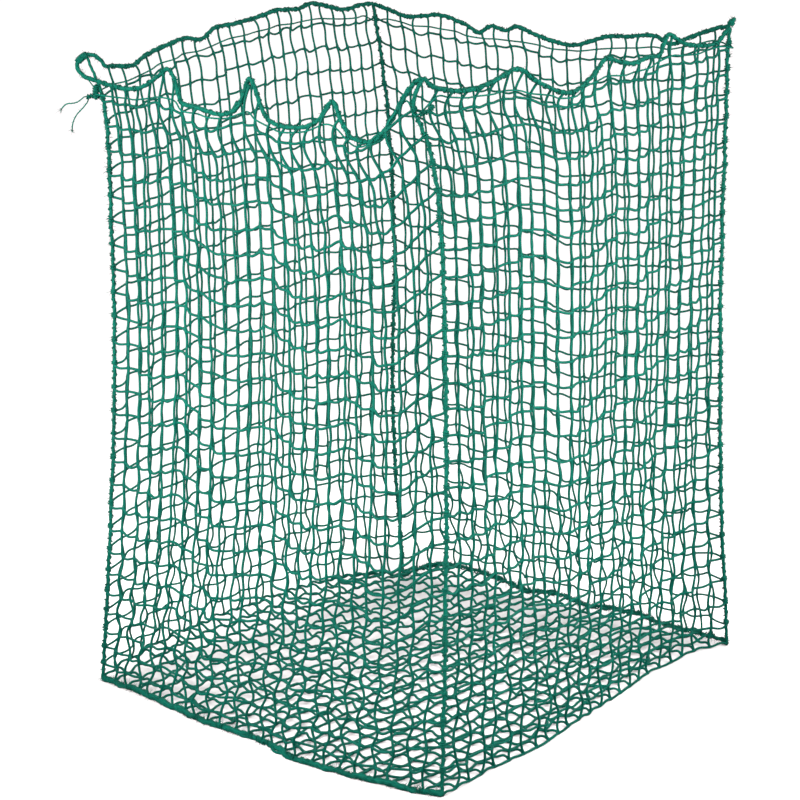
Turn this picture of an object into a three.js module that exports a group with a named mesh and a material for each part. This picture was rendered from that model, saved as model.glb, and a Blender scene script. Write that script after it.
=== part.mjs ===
// Open-topped box net on a rope frame: four netting walls and a netting base, laced together with
// rope, with a draw cord round the mouth and two rope loops to hang it by.
// Millimetres, +Z up. The origin is on the floor under the middle of the net.
import * as THREE from 'three';

// ---------- driving dimensions ----------
const NET_THICKNESS = 5; // one netting twine
const RIM_ROPE = 12;
const SEAM_ROPE = 11;
const DRAW_CORD = 4;
const TAIL_CORD = 3;
const WHIPPING_WALL = 2.5;
const WHIPPING_CLEARANCE = 1.5;

const SEAM_GAP = 12; // from the middle of a corner seam to the edge of each wall
const RIM_GAP = 26; // from the middle of the rim rope down to the top edge of each wall
const FLOOR_GAP = 1; // ropes stay this far above the floor
const SEAM_TOP_GAP = 12; // from the middle of the rim rope down to the top of a corner seam
const BASE_SEAM_OUT = 12; // base seams lie this far outside their wall
const BASE_SEAM_END = 16; // and stop this far short of the corner
const BASE_INSET = 12; // from the middle of a wall's bottom edge to the edge of the base
const DRAW_CORD_DOWN = 0.92; // height of the draw cord, as a share of the wall's height
const DRAW_CORD_OUT = 13; // from the middle of the netting to the middle of the draw cord
const DRAW_CORD_TURN_OUT = 21; // the same where it passes outside a corner seam
const DRAW_CORD_TURN_DOWN = 44; // and at the least this far below the rim there
const KNOT_CLEARANCE = 4; // between the knot and each end of the draw cord

const WALL_ROWS = 9;
const BASE_CELLS = 24;
const ROPE_SIDES = 8;
const STEPS = {
  seam: 30, base_seam: 48, rim: 140, draw_cord: 110, tail: 14, hitch: 6, loop: 24, whipping: 10,
};

// Each corner of the net, from the floor to the rim. The ropes hang in slightly bowed lines, and the
// front right one is drawn aside near the top by the draw cord that is hitched to it.
const CORNERS = {
  front_left: [
    [-551, -556, 0], [-524, -531, 500], [-512, -519, 900], [-508, -525, 1200], [-504, -530, 1357],
    [-508, -537, 1442], [-517, -546, 1495],
  ],
  front_right: [
    [544, -588, 0], [541, -575, 450], [540, -576, 900], [529, -583, 1300], [508, -595, 1463],
    [480, -614, 1555], [499, -605, 1611],
  ],
  back_right: [
    [520, 625, 0], [500, 600, 450], [488, 593, 900], [485, 593, 1250], [485, 595, 1434],
    [485, 596, 1531], [486, 598, 1588],
  ],
  back_left: [
    [-455, 512, 0], [-490, 510, 450], [-488, 512, 950], [-502, 504, 1280], [-513, 493, 1419],
    [-523, 483, 1515], [-528, 476, 1572],
  ],
};

// The rim between two corners: share of the way along, height over the straight line between the
// corners, and distance out from that line. Where the net is hooked up the rim peaks.
const RIM_WAVES = {
  front: [
    [0.05, -10, 2], [0.1, -17, 3], [0.15, -14, 2], [0.2, 11, -2], [0.23, 27, -4], [0.255, 2, -2],
    [0.28, -48, 3], [0.33, -60, 6], [0.42, -76, 8], [0.46, -60, 3], [0.492, 2, -4], [0.53, -54, 3],
    [0.56, -90, 6], [0.65, -105, 9], [0.7, -92, 4], [0.74, -50, -2], [0.775, -98, 3], [0.81, -128, 8],
    [0.87, -133, 8], [0.91, -94, 3], [0.95, -36, 0], [0.98, -8, 0],
  ],
  right: [
    [0.02, -20, 2], [0.05, -31, 3], [0.11, -42, 4], [0.16, -41, 4], [0.22, -29, 2], [0.265, -17, -2],
    [0.29, -19, 0], [0.325, -45, 4], [0.36, -64, 6], [0.42, -86, 6], [0.46, -86, 5], [0.49, -74, 3],
    [0.53, -50, 1], [0.565, -27, -3], [0.6, -37, 2], [0.65, -48, 4], [0.7, -39, 3], [0.745, -38, 2],
    [0.765, -8, -2], [0.782, 5, -3], [0.8, -6, 0], [0.83, -22, 3], [0.88, -33, 3], [0.95, -33, 3],
  ],
  back: [
    [0.03, -6, 0], [0.07, -19, 2], [0.11, -36, 2], [0.155, -52, 3], [0.2, -34, -1], [0.27, -41, 1],
    [0.32, -43, 2], [0.37, -58, 3], [0.42, -72, 4], [0.48, -65, 3], [0.54, -47, 1], [0.58, -34, -2],
    [0.61, -46, 2], [0.65, -37, -2], [0.69, -57, 3], [0.72, -40, -1], [0.8, -18, -2], [0.85, -23, 1],
    [0.9, -28, 3], [0.95, -13, 0],
  ],
  left: [
    [0.05, 6, 0], [0.12, 6, 0], [0.17, 23, 2], [0.25, 45, 3], [0.285, 40, 0], [0.33, 45, -1],
    [0.38, 52, -2], [0.44, 48, 0], [0.53, 46, 2], [0.6, 49, 1], [0.65, 31, -1], [0.7, 43, 2],
    [0.75, 42, 0], [0.8, 36, 2], [0.85, 26, 2], [0.885, 15, -1], [0.93, 21, 1], [0.97, 27, 1],
  ],
};

// The bottom edge of each wall on the floor: share of the way along, and distance out.
const FOOT_WAVES = {
  front: [
    [0.1, 2], [0.2, 16], [0.32, 32], [0.47, 36], [0.56, 46], [0.63, 62], [0.75, 54], [0.86, 40], [0.95, 22],
  ],
  right: [[0.15, -3], [0.3, 6], [0.45, -12], [0.6, -26], [0.7, -40], [0.83, -52], [0.93, -42]],
  back: [
    [0.05, 5], [0.19, 10], [0.3, 20], [0.42, 16], [0.52, 26], [0.61, 20], [0.74, 32], [0.87, 34],
    [0.96, 20],
  ],
  left: [[0.3, 8], [0.6, -6]],
};

// Walls in order round the net, each from its first corner to its second, seen from above.
const WALLS = {
  front: ['front_left', 'front_right'],
  right: ['front_right', 'back_right'],
  back: ['back_right', 'back_left'],
  left: ['back_left', 'front_left'],
};

// Each hanging loop is a bight of the rim rope, from one end of the rim rope to the other.
const LOOPS = {
  front_left: [
    [-518, -523, 1530], [-521, -530, 1541], [-530, -539, 1552], [-542, -551, 1556], [-552, -562, 1549],
    [-559, -571, 1533], [-554, -569, 1519], [-543, -563, 1507], [-530, -554, 1500], [-520, -547, 1497],
  ],
  back_right: [
    [490, 584, 1588], [494, 587, 1595], [497, 593, 1602], [495, 601, 1606], [489, 607, 1603],
    [484, 606, 1596], [482, 603, 1590],
  ],
};
// The stretch of each loop that is whipped with twine, as shares of its length.
const WHIPPED = { front_left: [0.34, 0.52], back_right: [0.1, 0.36] };

// The two free tails of the draw cord, from the knot outwards.
const TAILS = {
  long: [
    [-534, -565, 1447], [-539, -570, 1438], [-546, -576, 1428], [-553, -582, 1418], [-558, -586, 1407],
    [-561, -589, 1395], [-562, -590, 1384],
  ],
  short: [
    [-541, -569, 1459], [-546, -574, 1453], [-553, -580, 1447], [-562, -588, 1444], [-571, -595, 1443],
    [-577, -600, 1438], [-581, -603, 1432],
  ],
};
const KNOT_CENTRE = [-525, -555, 1466];
const KNOT_SIZE = [26, 24, 30];
const HITCH = [[514, -617, 1536], [522, -610, 1539], [527, -606, 1547], [529, -604, 1555]];
const HITCH_CORD = 7;

// ---------- small helpers ----------
const point = ([x, y, z]) => new THREE.Vector3(x, y, z);
const UP = new THREE.Vector3(0, 0, 1);
const smooth = (points) => new THREE.CatmullRomCurve3(points, false, 'centripetal');

function ring(radius) {
  const shape = new THREE.Shape();
  for (let i = 0; i < ROPE_SIDES; i += 1) {
    const angle = (2 * Math.PI * i) / ROPE_SIDES;
    const [x, y] = [radius * Math.cos(angle), radius * Math.sin(angle)];
    if (i === 0) shape.moveTo(x, y);
    else shape.lineTo(x, y);
  }
  shape.closePath();
  return shape;
}

function along(section, extrudePath, steps) {
  return new THREE.ExtrudeGeometry(section, { extrudePath, steps, bevelEnabled: false });
}

function rope(curve, diameter, steps) {
  return along(ring(diameter / 2), curve, steps);
}

// ---------- the shape of the net ----------
const cornerCurve = Object.fromEntries(
  Object.entries(CORNERS).map(([name, points]) => [name, smooth(points.map(point))]),
);

function wallFrame(name) {
  const [first, second] = WALLS[name].map((corner) => cornerCurve[corner]);
  const run = second.getPoint(1).sub(first.getPoint(1)).setZ(0).normalize();
  const outward = run.cross(UP);
  return { first, second, outward };
}

function rimPoint(name, [share, rise, out]) {
  const { first, second, outward } = wallFrame(name);
  const straight = first.getPoint(1).lerp(second.getPoint(1), share);
  return straight.addScaledVector(UP, rise).addScaledVector(outward, out);
}

// The rim over one wall, from corner to corner.
const rimCurve = Object.fromEntries(
  Object.keys(WALLS).map((name) => {
    const stops = [[0, 0, 0], ...RIM_WAVES[name], [1, 0, 0]];
    return [name, smooth(stops.map((stop) => rimPoint(name, stop)))];
  }),
);

// The bottom edge of one wall, from corner to corner.
const footCurve = Object.fromEntries(
  Object.keys(WALLS).map((name) => {
    const { first, second, outward } = wallFrame(name);
    const stops = [[0, 0], ...FOOT_WAVES[name], [1, 0]];
    const points = stops.map(([share, out]) => {
      return first.getPoint(0).lerp(second.getPoint(0), share).addScaledVector(outward, out);
    });
    return [name, smooth(points)];
  }),
);

// The point on a rim or foot curve that is a share of the way along its wall.
function atShare(curve, waves, share) {
  const shares = [0, ...waves.map(([at]) => at), 1];
  const before = Math.min(shares.findLastIndex((at) => at <= share), shares.length - 2);
  const part = (share - shares[before]) / (shares[before + 1] - shares[before]);
  return curve.getPoint((before + part) / (shares.length - 1));
}

function rimAt(name, share) {
  return atShare(rimCurve[name], RIM_WAVES[name], share);
}

function footAt(name, share) {
  return atShare(footCurve[name], FOOT_WAVES[name], share);
}

// A point in the middle of a wall's netting: share 0 to 1 along it, height 0 at the floor to 1.
function wallPoint(name, share, height) {
  const { first, second } = wallFrame(name);
  const flat = first.getPoint(height).lerp(second.getPoint(height), share);
  const top = first.getPoint(1).lerp(second.getPoint(1), share);
  const toRim = rimAt(name, share).sub(top).addScaledVector(UP, -RIM_GAP);
  const bottom = first.getPoint(0).lerp(second.getPoint(0), share);
  const toFoot = footAt(name, share).sub(bottom);
  return flat.addScaledVector(toRim, height ** 3).addScaledVector(toFoot, (1 - height) ** 3);
}

// A closed sheet of netting, NET_THICKNESS thick, over a grid of points.
function sheet(surface, columns, rows, offset) {
  const positions = [];
  for (const side of [1, -1]) {
    for (let row = 0; row <= rows; row += 1) {
      for (let column = 0; column <= columns; column += 1) {
        const at = surface(column / columns, row / rows);
        positions.push(...at.addScaledVector(offset, (side * NET_THICKNESS) / 2).toArray());
      }
    }
  }
  const perSide = (columns + 1) * (rows + 1);
  const outer = (row, column) => row * (columns + 1) + column;
  const inner = (row, column) => perSide + outer(row, column);
  const faces = [];
  const quad = (a, b, c, d) => faces.push(a, b, c, a, c, d);
  for (let r = 0; r < rows; r += 1) {
    for (let c = 0; c < columns; c += 1) {
      quad(outer(r, c), outer(r, c + 1), outer(r + 1, c + 1), outer(r + 1, c));
      quad(inner(r, c), inner(r + 1, c), inner(r + 1, c + 1), inner(r, c + 1));
    }
  }
  for (let c = 0; c < columns; c += 1) {
    quad(inner(0, c), inner(0, c + 1), outer(0, c + 1), outer(0, c));
    quad(outer(rows, c), outer(rows, c + 1), inner(rows, c + 1), inner(rows, c));
  }
  for (let r = 0; r < rows; r += 1) {
    quad(outer(r, 0), outer(r + 1, 0), inner(r + 1, 0), inner(r, 0));
    quad(inner(r, columns), inner(r + 1, columns), outer(r + 1, columns), outer(r, columns));
  }
  const geometry = new THREE.BufferGeometry();
  geometry.setAttribute('position', new THREE.Float32BufferAttribute(positions, 3));
  geometry.setIndex(faces);
  geometry.computeVertexNormals();
  return geometry;
}

function wallNet(name) {
  const { first, second, outward } = wallFrame(name);
  const inset = SEAM_GAP / first.getPoint(0).distanceTo(second.getPoint(0));
  const surface = (share, height) => wallPoint(name, inset + share * (1 - 2 * inset), height);
  const columns = 2 * (RIM_WAVES[name].length + 1);
  return sheet(surface, columns, WALL_ROWS, outward);
}

// The base fills the space between the bottom edges of the walls, drawn in a little all round.
function baseNet() {
  const start = (name) => footAt(name, 0);
  const surface = (x, y) => {
    const lengthways = footAt('front', x).lerp(footAt('back', 1 - x), y);
    const crossways = footAt('left', 1 - y).lerp(footAt('right', y), x);
    const front = start('front').lerp(start('right'), x);
    const corners = front.lerp(start('left').lerp(start('back'), x), y);
    const point = lengthways.add(crossways).sub(corners);
    point.x += BASE_INSET * (1 - 2 * x);
    point.y += BASE_INSET * (1 - 2 * y);
    return point.setZ(NET_THICKNESS / 2);
  };
  return sheet(surface, BASE_CELLS, BASE_CELLS, UP);
}

// ---------- ropes ----------
function cornerSeam(name) {
  const points = cornerCurve[name].getPoints(STEPS.seam / 2);
  points[0].z += FLOOR_GAP;
  points.at(-1).z -= SEAM_TOP_GAP + SEAM_ROPE / 2;
  if (name === 'front_left') points.at(-1).z -= KNOT_SIZE[2];
  return rope(smooth(points), SEAM_ROPE, STEPS.seam);
}

function baseSeam(name) {
  const { first, second, outward } = wallFrame(name);
  const end = BASE_SEAM_END / first.getPoint(0).distanceTo(second.getPoint(0));
  const lift = SEAM_ROPE / 2 + FLOOR_GAP;
  const points = [];
  for (let i = 0; i <= STEPS.base_seam; i += 1) {
    const share = end + ((1 - 2 * end) * i) / STEPS.base_seam;
    points.push(footAt(name, share).addScaledVector(outward, BASE_SEAM_OUT).setZ(lift));
  }
  return rope(smooth(points), SEAM_ROPE, STEPS.base_seam);
}

// Half of the rim rope, over two walls, between the two hanging loops. At each end it stops short
// of the loop by a share of its first or last span.
function rimRope(names, trimStart, trimEnd) {
  const points = names.flatMap((name, i) => rimCurve[name].points.slice(i === 0 ? 0 : 1));
  const inner = points.slice(1, -1);
  const start = points[0].clone().lerp(points[1], trimStart);
  const finish = points[points.length - 1].clone().lerp(points[points.length - 2], trimEnd);
  return rope(smooth([start, ...inner, finish]), RIM_ROPE, STEPS.rim);
}

// The draw cord runs outside the walls, right round the mouth, and both ends go into the knot.
function drawCord() {
  const shares = [0.06, 0.14, 0.237, 0.32, 0.42, 0.5, 0.58, 0.67, 0.75, 0.84, 0.93];
  const points = Object.keys(WALLS).flatMap((name) => {
    const { second, outward } = wallFrame(name);
    const run = shares.map((share) => {
      return wallPoint(name, share, DRAW_CORD_DOWN).addScaledVector(outward, DRAW_CORD_OUT);
    });
    if (name === 'left') return run;
    const turn = second.getPoint(DRAW_CORD_DOWN);
    turn.z = (run.at(-1).z + second.getPoint(1).z - DRAW_CORD_TURN_DOWN) / 2;
    const out = turn.clone().setZ(0).normalize();
    return [...run, turn.addScaledVector(out, DRAW_CORD_TURN_OUT)];
  });
  const reach = KNOT_SIZE[0] / 2 + KNOT_CLEARANCE;
  const start = point(KNOT_CENTRE).add(new THREE.Vector3(reach, -DRAW_CORD, 0));
  const finish = point(KNOT_CENTRE).add(new THREE.Vector3(-2 * DRAW_CORD, reach, 0));
  return rope(smooth([start, ...points, finish]), DRAW_CORD, STEPS.draw_cord);
}

function loopCurve(name) {
  return smooth(LOOPS[name].map(point));
}

// A sleeve of twine round the whipped stretch of a loop.
function whipping(name) {
  const [from, to] = WHIPPED[name];
  const points = [];
  for (let i = 0; i <= STEPS.whipping; i += 1) {
    points.push(loopCurve(name).getPointAt(from + ((to - from) * i) / STEPS.whipping));
  }
  const bore = RIM_ROPE / 2 + WHIPPING_CLEARANCE;
  const section = ring(bore + WHIPPING_WALL);
  section.holes.push(ring(bore));
  return along(section, smooth(points), STEPS.whipping);
}

function knot() {
  const geometry = new THREE.SphereGeometry(0.5, 12, 8);
  geometry.scale(...KNOT_SIZE);
  geometry.translate(...KNOT_CENTRE);
  return geometry;
}

// ---------- materials and assembly ----------
const TEAL = 0x0b8a68;
const DARK_TEAL = 0x0a7458;
// The mouth leans a little to one side, so the net is set over the origin by the middle of its box.
const SHIFT = [12, -4.5, 0];
const net = new THREE.Group();
net.position.set(...SHIFT);

function add(name, geometry, color, roughness = 0.75) {
  const material = new THREE.MeshStandardMaterial({ color, roughness, metalness: 0 });
  const mesh = new THREE.Mesh(geometry, material);
  mesh.name = name;
  net.add(mesh);
}

add('base_net', baseNet(), TEAL);
for (const name of Object.keys(WALLS)) add(`wall_net_${name}`, wallNet(name), TEAL);
for (const name of Object.keys(CORNERS)) add(`seam_rope_${name}`, cornerSeam(name), DARK_TEAL);
for (const name of ['front', 'back']) add(`base_seam_rope_${name}`, baseSeam(name), DARK_TEAL);
add('rim_rope_front', rimRope(['front', 'right'], 0.3, 0.35), DARK_TEAL);
add('rim_rope_back', rimRope(['back', 'left'], 0.35, 0.75), DARK_TEAL);
add('draw_cord', drawCord(), TEAL);
add('draw_cord_knot', knot(), DARK_TEAL);
for (const name of Object.keys(TAILS)) {
  add(`draw_cord_tail_${name}`, rope(smooth(TAILS[name].map(point)), TAIL_CORD, STEPS.tail), TEAL);
}
add('corner_hitch', rope(smooth(HITCH.map(point)), HITCH_CORD, STEPS.hitch), DARK_TEAL);
for (const name of Object.keys(LOOPS)) {
  add(`hanging_loop_${name}`, rope(loopCurve(name), RIM_ROPE, STEPS.loop), DARK_TEAL);
  add(`loop_whipping_${name}`, whipping(name), DARK_TEAL, 0.85);
}

export default net;
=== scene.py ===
import math

import bpy
import numpy as np
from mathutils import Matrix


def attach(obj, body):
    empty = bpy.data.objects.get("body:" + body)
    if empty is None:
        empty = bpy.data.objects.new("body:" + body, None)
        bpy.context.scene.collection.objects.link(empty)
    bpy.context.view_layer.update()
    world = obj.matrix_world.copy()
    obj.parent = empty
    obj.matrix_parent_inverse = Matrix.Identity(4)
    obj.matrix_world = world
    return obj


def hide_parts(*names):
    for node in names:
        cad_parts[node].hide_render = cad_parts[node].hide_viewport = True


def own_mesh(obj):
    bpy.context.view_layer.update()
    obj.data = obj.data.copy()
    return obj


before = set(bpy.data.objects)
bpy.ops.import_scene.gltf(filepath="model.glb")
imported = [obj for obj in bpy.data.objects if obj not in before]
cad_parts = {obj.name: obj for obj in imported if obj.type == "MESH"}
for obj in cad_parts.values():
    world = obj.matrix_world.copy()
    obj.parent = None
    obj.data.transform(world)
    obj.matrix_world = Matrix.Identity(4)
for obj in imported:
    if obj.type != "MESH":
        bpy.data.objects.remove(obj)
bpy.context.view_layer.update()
rng = np.random.default_rng(60)

# ---------- driving dimensions, in metres ----------
MESH = 0.060            # one bar of the netting, from knot to knot
BAR = 0.0588            # length of twine that shows between two knots
TWINE = 0.0060          # the netting's twine; TWINE_SHARE says how thick it is in each net
TWINE_SHARE = {"front": 1.09, "right": 1.09, "back": 0.95, "left": 0.95, "base": 1.12}
RIM_ROPE = 0.012
SEAM_ROPE = 0.011
SEAM_CORE = 0.0095      # the rope inside a corner's seam, before its lacing
BASE_SEAM_SIZE = {"front": 1.4, "back": 0.8}    # thickness of the base's seams, as a share of SEAM_ROPE
DRAW_CORD = 0.004
TAIL_CORD = 0.003
HITCH_CORD = 0.006
STRAND = 0.0075         # the second strand inside the front left loop
LACING = 0.0034         # the twine that laces the ropes to the netting
ROWS = 26               # rows of whole meshes up a wall
# From the top of each corner down to its first knot.
TOP_GAP = {"front_left": 0.040, "front_right": 0.072, "back_right": 0.040, "back_left": 0.035}
RIM_TO_KNOTS = 0.046    # from the rim rope down to the first knots, on average
RIM_SHARE = 0.68        # how much of the rim's waves the rows of knots follow
RIM_CLEARANCE = 0.018   # the least distance from the rim rope down to the first knots
LEVEL_ROUNDS = 40       # rounds of blur that leave only the rim's general level, without its waves
STEEPEST = 0.034        # most that a knot in the first row may be above or below the next one
CORNER_REACH = 2.5      # columns over which the first row comes level with the corner's first knot
SLACK_ROWS = 9          # rows near the floor that take up what is left of the netting's height
CROSS_SLACK = 0.27      # how much of a bar's spare length bows out between the knots
BASE_SLACK = 0.24       # the same for the base
CELLS = {"front": 25, "right": 24, "back": 25, "left": 24}      # meshes along each wall
TURN_SPACING = 0.044    # from one lacing turn of a rope to the next, along the rim and the base's seams
STRAY_TURN = 0.022      # from a lacing turn to the longer single turn between two of them
FLOOR = 0.0025          # height of a twine's middle where it lies on the floor

MM = 0.001
SHIFT = (12, -4.5, 0)   # mm, the same shift that puts the CAD model over its origin

# The routes below are in millimetres. They repeat the ones that the CAD model is built on, except
# FOOT_LIFT, LOOP_STRAND and HITCH, which are drawn only here.
CORNERS = {
    "front_left": [
        (-551, -556, 0), (-524, -531, 500), (-512, -519, 900), (-508, -525, 1200), (-504, -530, 1357),
        (-508, -537, 1442), (-517, -546, 1495),
    ],
    "front_right": [
        (544, -588, 0), (541, -575, 450), (540, -576, 900), (529, -583, 1300), (508, -595, 1463),
        (480, -614, 1555), (499, -605, 1611),
    ],
    "back_right": [
        (520, 625, 0), (500, 600, 450), (488, 593, 900), (485, 593, 1250), (485, 595, 1434),
        (485, 596, 1531), (486, 598, 1588),
    ],
    "back_left": [
        (-455, 512, 0), (-490, 510, 450), (-488, 512, 950), (-502, 504, 1280), (-513, 493, 1419),
        (-523, 483, 1515), (-528, 476, 1572),
    ],
}
WALLS = {
    "front": ("front_left", "front_right"),
    "right": ("front_right", "back_right"),
    "back": ("back_right", "back_left"),
    "left": ("back_left", "front_left"),
}
# The rim between two corners: share of the way along, height over the straight line between the
# corners, and distance out from that line.
RIM_WAVES = {
    "front": [
        (0.05, -10, 2), (0.1, -17, 3), (0.15, -14, 2), (0.2, 11, -2), (0.23, 27, -4), (0.255, 2, -2),
        (0.28, -48, 3), (0.33, -60, 6), (0.42, -76, 8), (0.46, -60, 3), (0.492, 2, -4), (0.53, -54, 3),
        (0.56, -90, 6), (0.65, -105, 9), (0.7, -92, 4), (0.74, -50, -2), (0.775, -98, 3), (0.81, -128, 8),
        (0.87, -133, 8), (0.91, -94, 3), (0.95, -36, 0), (0.98, -8, 0),
    ],
    "right": [
        (0.02, -20, 2), (0.05, -31, 3), (0.11, -42, 4), (0.16, -41, 4), (0.22, -29, 2), (0.265, -17, -2),
        (0.29, -19, 0), (0.325, -45, 4), (0.36, -64, 6), (0.42, -86, 6), (0.46, -86, 5), (0.49, -74, 3),
        (0.53, -50, 1), (0.565, -27, -3), (0.6, -37, 2), (0.65, -48, 4), (0.7, -39, 3), (0.745, -38, 2),
        (0.765, -8, -2), (0.782, 5, -3), (0.8, -6, 0), (0.83, -22, 3), (0.88, -33, 3), (0.95, -33, 3),
    ],
    "back": [
        (0.03, -6, 0), (0.07, -19, 2), (0.11, -36, 2), (0.155, -52, 3), (0.2, -34, -1), (0.27, -41, 1),
        (0.32, -43, 2), (0.37, -58, 3), (0.42, -72, 4), (0.48, -65, 3), (0.54, -47, 1), (0.58, -34, -2),
        (0.61, -46, 2), (0.65, -37, -2), (0.69, -57, 3), (0.72, -40, -1), (0.8, -18, -2), (0.85, -23, 1),
        (0.9, -28, 3), (0.95, -13, 0),
    ],
    "left": [
        (0.05, 6, 0), (0.12, 6, 0), (0.17, 23, 2), (0.25, 45, 3), (0.285, 40, 0), (0.33, 45, -1),
        (0.38, 52, -2), (0.44, 48, 0), (0.53, 46, 2), (0.6, 49, 1), (0.65, 31, -1), (0.7, 43, 2),
        (0.75, 42, 0), (0.8, 36, 2), (0.85, 26, 2), (0.885, 15, -1), (0.93, 21, 1), (0.97, 27, 1),
    ],
}
# The bottom edge of each wall on the floor: share of the way along, and distance out.
FOOT_WAVES = {
    "front": [
        (0.1, 2), (0.2, 16), (0.32, 32), (0.47, 36), (0.56, 46), (0.63, 62), (0.75, 54), (0.86, 40),
        (0.95, 22),
    ],
    "right": [(0.15, -3), (0.3, 6), (0.45, -12), (0.6, -26), (0.7, -40), (0.83, -52), (0.93, -42)],
    "back": [
        (0.05, 5), (0.19, 10), (0.3, 20), (0.42, 16), (0.52, 26), (0.61, 20), (0.74, 32), (0.87, 34),
        (0.96, 20),
    ],
    "left": [(0.3, 8), (0.6, -6)],
}
# Where a bottom edge isn't drawn down to the floor: share of the way along, and height.
FOOT_LIFT = {
    "back": [
        (0, 0), (0.04, 9), (0.19, 12), (0.3, 25), (0.43, 19), (0.52, 31), (0.61, 23), (0.74, 42), (0.8, 45),
        (0.9, 44), (0.97, 18), (1, 0),
    ],
    "left": [(0, 0), (0.08, 28), (0.2, 52), (0.4, 68), (0.6, 68), (0.8, 52), (0.92, 28), (1, 0)],
}
LOOPS = {
    "front_left": [
        (-518, -523, 1530), (-521, -530, 1541), (-530, -539, 1552), (-542, -551, 1556), (-552, -562, 1549),
        (-559, -571, 1533), (-554, -569, 1519), (-543, -563, 1507), (-530, -554, 1500), (-520, -547, 1497),
    ],
    "back_right": [
        (490, 584, 1588), (494, 587, 1595), (497, 593, 1602), (495, 601, 1606), (489, 607, 1603),
        (484, 606, 1596), (482, 603, 1590),
    ],
}
# The part of each loop that is whipped, as shares of its length.
WHIPPED = {"front_left": (0.34, 0.52), "back_right": (0.1, 0.36)}
# Inside the front left loop a second strand runs from its top to where it meets the rim.
LOOP_STRAND = [
    (-542, -553, 1551), (-536, -552, 1533), (-530, -551, 1521), (-523, -550, 1509), (-519, -550, 1499),
]
TAILS = {
    "long": [
        (-534, -565, 1447), (-539, -570, 1438), (-546, -576, 1428), (-553, -582, 1418), (-558, -586, 1407),
        (-561, -589, 1395), (-562, -590, 1384),
    ],
    "short": [
        (-541, -569, 1459), (-546, -574, 1453), (-553, -580, 1447), (-562, -588, 1444), (-571, -595, 1443),
        (-577, -600, 1438), (-581, -603, 1432),
    ],
}
KNOT_CENTRE = (-525, -555, 1466)
HITCH = [(496, -612, 1530), (503, -612, 1536), (511, -606, 1539), (517, -602, 1547), (519, -600, 1555)]

UP = np.array([0.0, 0.0, 1.0])


def metres(points):
    """Millimetres on the CAD model's routes to metres in the shared frame."""
    return (np.array(points, float) + SHIFT) * MM


# ---------- curves ----------
def spline(points, per_span=16):
    """A centripetal Catmull-Rom curve through the points, as a fine line."""
    p = np.asarray(points, float)
    p = np.vstack([2 * p[0] - p[1], p, 2 * p[-1] - p[-2]])
    t = np.linspace(0, 1, per_span, endpoint=False)[:, None]
    line = []
    for a, b, c, d in zip(p[:-3], p[1:-2], p[2:-1], p[3:]):
        ab, bc, cd = (max(np.linalg.norm(y - x), 1e-9) ** 0.5 for x, y in ((a, b), (b, c), (c, d)))
        start = ((b - a) / ab - (c - a) / (ab + bc) + (c - b) / bc) * bc
        end = ((c - b) / bc - (d - b) / (bc + cd) + (d - c) / cd) * bc
        line.append(
            b * (2 * t**3 - 3 * t**2 + 1) + start * (t**3 - 2 * t**2 + t)
            + c * (3 * t**2 - 2 * t**3) + end * (t**3 - t**2)
        )
    return np.vstack(line + [p[-2]])


def travelled(line):
    """Distance along a line at each of its points."""
    return np.concatenate([[0], np.cumsum(np.linalg.norm(np.diff(line, axis=0), axis=1))])


def at_distance(line, distance):
    """The points at these distances along a line."""
    s = travelled(line)
    return np.stack([np.interp(distance, s, line[:, k]) for k in range(3)], axis=-1)


def evenly(line, count):
    """count + 1 points spaced evenly along a line."""
    return at_distance(line, np.linspace(0, travelled(line)[-1], count + 1))


def slow_noise(count, spacing, width=1):
    """Random values of about -1 to 1 that change smoothly over about `spacing` steps."""
    stops = max(3, int(count / spacing) + 3)
    coarse = rng.normal(0, 0.6, (stops, width))
    x = np.linspace(0, stops - 1.001, count)
    i = x.astype(int)
    f = (x - i)[:, None]
    f = f * f * (3 - 2 * f)
    return coarse[i] * (1 - f) + coarse[np.minimum(i + 1, stops - 1)] * f


# ---------- tubes ----------
def carried_frames(lines):
    """Two directions across each line at each point, carried along without twist. lines is (s, n, 3)."""
    tangent = np.gradient(lines, axis=1)
    tangent /= np.linalg.norm(tangent, axis=2, keepdims=True) + 1e-12
    helper = np.where(np.abs(tangent[:, 0, 2:3]) < 0.9, UP, np.array([1.0, 0.0, 0.0]))
    normal = np.cross(tangent[:, 0], helper)
    normals = []
    for k in range(lines.shape[1]):
        t = tangent[:, k]
        normal = normal - (normal * t).sum(1, keepdims=True) * t
        normal = normal / (np.linalg.norm(normal, axis=1, keepdims=True) + 1e-12)
        normals.append(normal)
    first = np.stack(normals, axis=1)
    return first, np.cross(tangent, first)


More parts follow.
